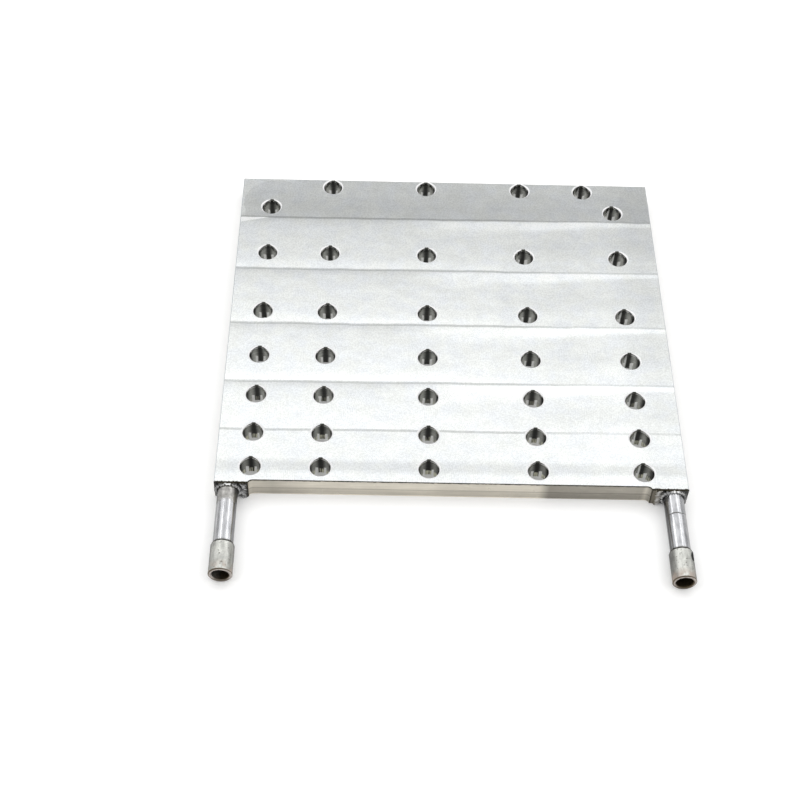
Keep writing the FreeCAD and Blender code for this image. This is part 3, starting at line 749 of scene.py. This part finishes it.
blocks = {"inlet": (plate_low.x, recess_left), "outlet": (recess_right, plate_high.x)}
for side, (block_left, block_right) in blocks.items():
    x, _, z = axis_of(f"{side}_pipe")
    hand = random.Random(side)
    bpy.ops.object.select_all(action="DESELECT")
    bpy.ops.mesh.primitive_uv_sphere_add(segments=24, ring_count=14, radius=1)
    puddle = bpy.context.object
    laid = []
    for step in range(ring_puddles):
        angle = 2 * math.pi * (step + hand.uniform(-0.15, 0.15)) / ring_puddles
        spot = (x + ring_radius * math.cos(angle), front - 0.0001,
                z + ring_radius * math.sin(angle))
        wide, deep, high = puddle_size
        laid.append((spot, (wide * hand.uniform(0.9, 1.15), deep, high),
                     (puddle_tilt, -angle, 0)))
    middle = (block_left + block_right) / 2
    towards = 1 if middle > x else -1
    for strand in range(strand_count):
        spot = (x + towards * (strand_place + hand.uniform(-0.0005, 0.0005)), front + 0.0001,
                -0.0002 + strand_pitch * strand)
        wide, deep, high = strand_size
        laid.append((spot, (wide, deep * hand.uniform(0.8, 1.15), high),
                     (0, towards * (strand_lean + hand.uniform(-0.12, 0.12)),
                      hand.uniform(-0.15, 0.15))))
    puddles = [add_block(f"{side}_weld_bead", (block_left, front - filler_rise, underside),
                         (block_right, front + root_depth, top))]
    for spot, size, turn in laid:
        laid_puddle = copy_of(puddle)
        laid_puddle.location, laid_puddle.scale = spot, size
        laid_puddle.rotation_euler = turn
        puddles.append(laid_puddle)
    bpy.data.objects.remove(puddle)
    weld = join(puddles)
    apply_place()
    apply_modifier(weld, "REMESH", mode="VOXEL", voxel_size=0.0002)
    cut(weld, add_block("block_outline", (block_left, front - weld_reach, underside),
                        (block_right, front + 0.0001, top)), "INTERSECT")
    cut(weld, add_rod("pipe_bore", (x, front - 0.01, z), (x, front + 0.01, z), mid_wall))
    refinish(weld, weld_finish)
    bpy.ops.object.shade_smooth_by_angle(angle=math.radians(40))
    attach(weld, "root")
    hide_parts(f"{side}_weld")


# ---------------------------------------------------------------- the end sleeves
# A turned and blasted sleeve on the end of each pipe, where a hose or fitting goes on. Its
# socket takes 12 mm of pipe, and its own bore goes on at the pipe's inside diameter.

# Blasted matt and mottled, with dark pits, browner on the rim and dark inside the bore. Painted
# shade darkens its flanks, the outlet's outer side and the rim's lower side. Its tones are for
# distances from the axis towards the other pipe, in millimetres.
sleeve_tones = ((-7, 0.3), (-6, 0.55), (-5, 0.8), (-2.8, 0.95), (0.8, 1.0), (2.8, 1.0),
                (4.2, 0.9), (5.6, 0.6), (7, 0.25))
sleeve_finish, tree, shader, place = new_finish("blasted_sleeve", (0.6, 0.6, 0.57), 0.42, 0.9)
x, y, z = split(tree, place)
inward, _, from_axis = from_pipe(tree, place)
# Painted shade at the sleeve's flanks.
painted_side_light = tones(tree, inward, sleeve_tones)
at_outlet = spread(tree, x, -1, 1, 0, 1)
# Painted shade on the outlet sleeve's outer side.
outer_side_shade = maths(tree, "MULTIPLY", at_outlet, spread(tree, inward, -3, -6, 0, 0.5))
mottle = spread(tree, noise(tree, place, 2.4, 4, (1, 0.4, 1)), 0.34, 0.64, 0.7, 1.08)
grain = spread(tree, noise(tree, place, 0.5, 2), 0.3, 0.7, 0.88, 1.1)
tone = tinted(tree, (0.60, 0.605, 0.57, 1), mottle)
tone = tinted(tree, tone, grain)
tone = tinted(tree, tone, painted_side_light)
tone = blend(tree, outer_side_shade, tone, grey(0))
pits = spread(tree, noise(tree, place, 1.5, 3), 0.62, 0.68, 0, 0.75)
tone = blend(tree, pits, tone, (0.12, 0.115, 0.1, 1))
rust = maths(tree, "MULTIPLY", spread(tree, y, -183, -188, 0, 0.7),
             spread(tree, noise(tree, place, 3, 3, (1, 0.6, 1)), 0.4, 0.62, 0, 1))
tone = blend(tree, rust, tone, (0.40, 0.32, 0.27, 1))
at_mouth = spread(tree, y, -189.3, -189.5, 0, 1)
rim = blend(tree, spread(tree, noise(tree, place, 1.4, 3), 0.35, 0.65, 0, 1),
            (0.3, 0.265, 0.24, 1), (0.5, 0.46, 0.43, 1))
# Painted shade on the lower side of the rim.
rim = blend(tree, spread(tree, z, 2.2, 5.0, 0.8, 0), rim, (0.1, 0.08, 0.055, 1))
rim = blend(tree, spread(tree, from_axis, 6.45, 6.65, 0, 1), rim, (0.13, 0.105, 0.075, 1))
tone = blend(tree, at_mouth, tone, rim)
bore_starts = spread(tree, x, -1, 1, 5.1, 5.4)
inside = spread(tree, maths(tree, "SUBTRACT", from_axis, bore_starts), -0.1, 0.1, 1, 0)
tone = blend(tree, inside, tone, (0.1, 0.075, 0.045, 1))
tree.links.new(tone, shader.inputs["Base Color"])
tree.links.new(spread(tree, noise(tree, place, 1.2, 3), 0.3, 0.7, 0.34, 0.52),
               shader.inputs["Roughness"])
relief = maths(tree, "SUBTRACT", noise(tree, place, 0.45, 3),
               maths(tree, "MULTIPLY", pits, 1.2))
emboss(tree, shader, relief, 0.05)

# The nick in the outlet's sleeve is near black inside.
nick_finish, tree, shader, place = new_finish("nick", (0.05, 0.05, 0.04), 0.5)
tree.links.new(spread(tree, noise(tree, place, 0.8, 3), 0.3, 0.7, 0.015, 0.07),
               shader.inputs["Base Color"])
emboss(tree, shader, noise(tree, place, 0.4, 3), 0.04)

shoulder_chamfer = 0.0008
mouth_chamfer = 0.0005
socket_depth = 0.012
socket_radius = 0.00605
sleeve_bore = 0.005
nick_size = (0.0018, 0.0038, 0.0022)
nick_across, nick_place, nick_up = 0.0062, -0.1742, 0.0042

for side in ("inlet", "outlet"):
    low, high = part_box(f"{side}_sleeve")
    x, _, z = (low + high) / 2
    outside = (high.x - low.x) / 2
    profile = [
        (high.y, outside - shoulder_chamfer),
        (high.y - shoulder_chamfer, outside),
        (low.y + mouth_chamfer, outside),
        (low.y, outside - mouth_chamfer),
        (low.y, sleeve_bore + mouth_chamfer),
        (low.y + mouth_chamfer, sleeve_bore),
        (high.y - socket_depth, sleeve_bore),
        (high.y - socket_depth, socket_radius),
        (high.y, socket_radius),
    ]
    bpy.ops.object.select_all(action="DESELECT")
    start, radius = profile[0]
    bpy.ops.mesh.primitive_circle_add(vertices=96, radius=radius, location=(x, start, z),
                                      rotation=(math.pi / 2, 0, 0))
    sleeve = bpy.context.object
    sleeve.name = f"{side}_end_sleeve"
    apply_place()
    bpy.ops.object.mode_set(mode="EDIT")
    bpy.ops.mesh.select_mode(type="EDGE")
    bpy.ops.mesh.select_all(action="SELECT")
    before = profile[0]
    for after in profile[1:]:
        grow = after[1] / before[1]
        bpy.ops.mesh.extrude_region_move(
            TRANSFORM_OT_translate={"value": (0, after[0] - before[0], 0)})
        bpy.ops.transform.resize(value=(grow, 1, grow), center_override=(x, after[0], z))
        before = after
    bpy.ops.mesh.select_all(action="DESELECT")
    bpy.ops.mesh.select_non_manifold()
    bpy.ops.mesh.bridge_edge_loops()
    bpy.ops.mesh.select_all(action="SELECT")
    bpy.ops.mesh.normals_make_consistent(inside=False)
    close_edit()
    sleeve.data.materials.append(sleeve_finish)
    if side == "outlet":
        bpy.ops.object.select_all(action="DESELECT")
        bpy.ops.mesh.primitive_uv_sphere_add(segments=48, ring_count=24, radius=1)
        nick = bpy.context.object
        nick.scale = nick_size
        nick.rotation_euler = (0, 0, -0.3)
        nick.location = (x + nick_across, nick_place, z + nick_up)
        apply_place()
        nick.data.materials.append(nick_finish)
        sleeve.data.materials.append(nick_finish)
        cut(sleeve, nick)
    bpy.ops.object.shade_smooth_by_angle(angle=math.radians(30))
    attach(sleeve, "root")
    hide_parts(f"{side}_sleeve")


# ---------------------------------------------------------------- the braze rings
# A thin fillet of filler where each pipe enters its sleeve, left dark by the torch.

braze_finish, tree, shader, place = new_finish("braze_filler", (0.2, 0.19, 0.17), 0.45)
sooty = spread(tree, noise(tree, place, 1.0, 3), 0.35, 0.65, 0, 1)
tree.links.new(blend(tree, sooty, (0.03, 0.028, 0.024, 1), (0.1, 0.095, 0.085, 1)),
               shader.inputs["Base Color"])
emboss(tree, shader, noise(tree, place, 0.4, 2), 0.03)

for side in ("inlet", "outlet"):
    refinish(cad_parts[f"{side}_braze_ring"], braze_finish)


# ---------------------------------------------------------------- the studio
# A pale table top under a wide soft lamp, two strip lamps that draw the lights on the
# pipes, and a weak lamp behind the camera for the countersinks and the front face.

bpy.ops.object.select_all(action="DESELECT")
bpy.ops.mesh.primitive_plane_add(size=12)
floor = bpy.context.object
floor.name = "table_top"
floor_finish, tree, shader, place = new_finish("table_top", (0.93, 0.93, 0.925), 0.6, 0.0)
seen = node(tree, "LightPath").node
direct = maths(tree, "MAXIMUM", seen.outputs["Is Camera Ray"], seen.outputs["Is Glossy Ray"])
direct = maths(tree, "MAXIMUM", direct, seen.outputs["Is Transmission Ray"])
shader.inputs["Emission Color"].default_value = grey(1)
tree.links.new(maths(tree, "MULTIPLY", direct, 0.1), shader.inputs["Emission Strength"])
floor.data.materials.append(floor_finish)


def hang_lamp(name, place, width, length, brightness, towards_front=False):
    """A soft box whose length runs along the pipes. At a brightness of 1 it looks white."""
    lamp = bpy.data.lights.new(name, "AREA")
    lamp.shape = "RECTANGLE"
    lamp.size, lamp.size_y = width, length
    lamp.energy = brightness * math.pi * width * length
    holder = bpy.data.objects.new(name, lamp)
    bpy.context.collection.objects.link(holder)
    holder.location = place
    if towards_front:
        holder.rotation_euler = (math.atan2(-place[1], place[2]), 0, 0)
    else:
        holder.rotation_euler = (0, math.atan2(place[0], place[2]), 0)


hang_lamp("overhead_box", (0, 0.25, 1.2), 4.0, 2.0, 1.07)
hang_lamp("strip_left", (-0.4, 0.26, 0.55), 0.06, 0.32, 2.2)
hang_lamp("strip_right", (0.51, 0.55, 0.889), 0.1, 0.5, 2.2)
hang_lamp("front_box", (0, -1.3, 1.1), 1.2, 0.8, 0.8, towards_front=True)

world = bpy.data.worlds.new("studio")
world.use_nodes = True
tree = world.node_tree
tree.nodes["Background"].inputs["Color"].default_value = grey(1)
way, _, _ = split(tree, node(tree, "TexCoord", output="Generated"))
side_light = spread(tree, maths(tree, "ABSOLUTE", way), 0.35, 0.7, 0.32, 0.8)
tree.links.new(side_light, tree.nodes["Background"].inputs["Strength"])
bpy.context.scene.world = world

camera_data = bpy.data.cameras.new("camera")
camera_data.lens = 66.87
camera_data.sensor_width = 36
camera = bpy.data.objects.new("camera", camera_data)
bpy.context.collection.objects.link(camera)
camera.location = (-0.0470, -0.64024, 0.7240)
camera.rotation_euler = [math.radians(angle) for angle in (38.956, -1.460, 0.200)]
bpy.context.scene.camera = camera
bpy.context.scene.view_settings.view_transform = "Standard"
